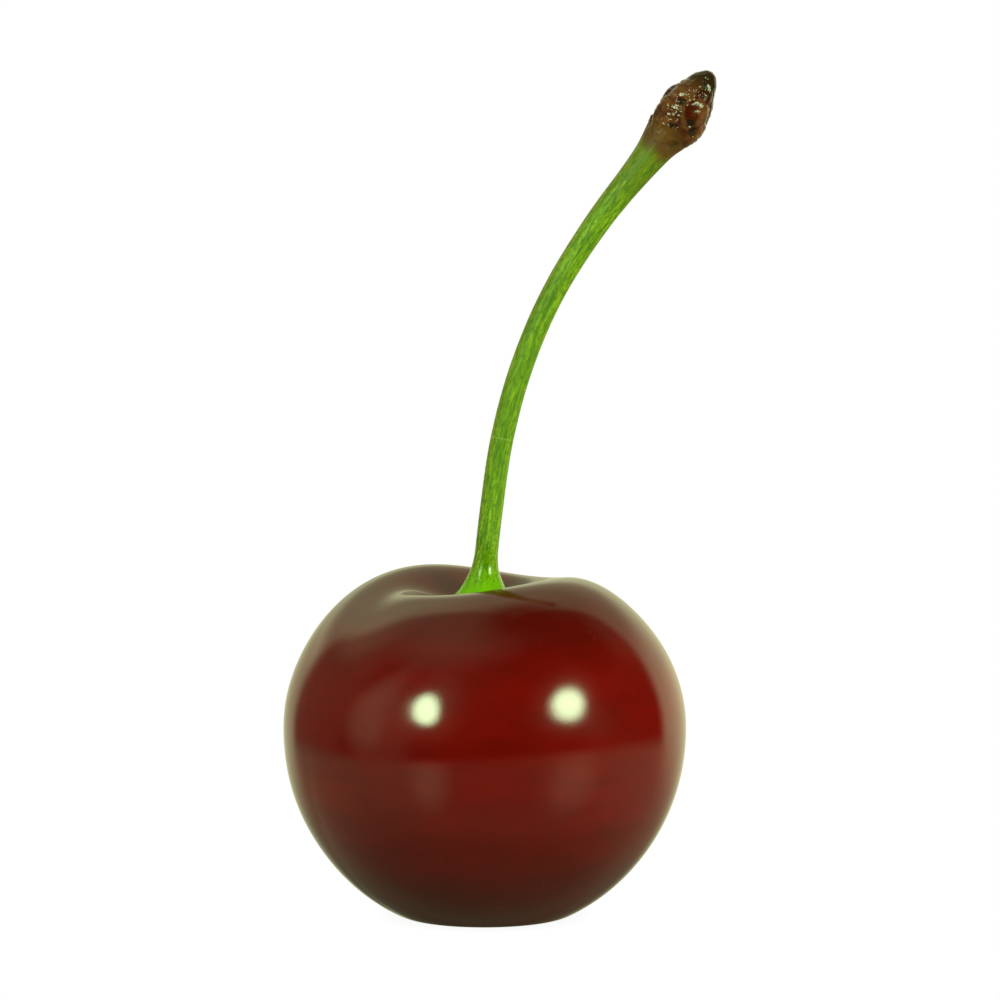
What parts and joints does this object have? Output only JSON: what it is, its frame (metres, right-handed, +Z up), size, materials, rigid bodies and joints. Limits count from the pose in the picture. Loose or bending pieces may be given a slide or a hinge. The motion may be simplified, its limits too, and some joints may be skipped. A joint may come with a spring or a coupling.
{
  "type": "sweet cherry",
  "caption": "Fresh sweet cherry: a round glossy dark-red fruit with a hollow and suture on top, and a curved green stem with a swollen brown end.",
  "frame": {"origin": "centre of the small flat spot under the fruit, which the cherry rests on", "axes": "+Z up along the fruit's axis; the stem leans towards +X and a little towards +Y; the side shown in the picture faces -Y"},
  "size_m": [0.03, 0.0264, 0.0589],
  "materials": {
    "skin": "smooth, glossy, dark red",
    "stem": "semi-gloss green, brown at the swollen end"
  },
  "bodies": {
    "root": {"fruit": "skin", "stem": "stem"}
  },
  "joints": []
}
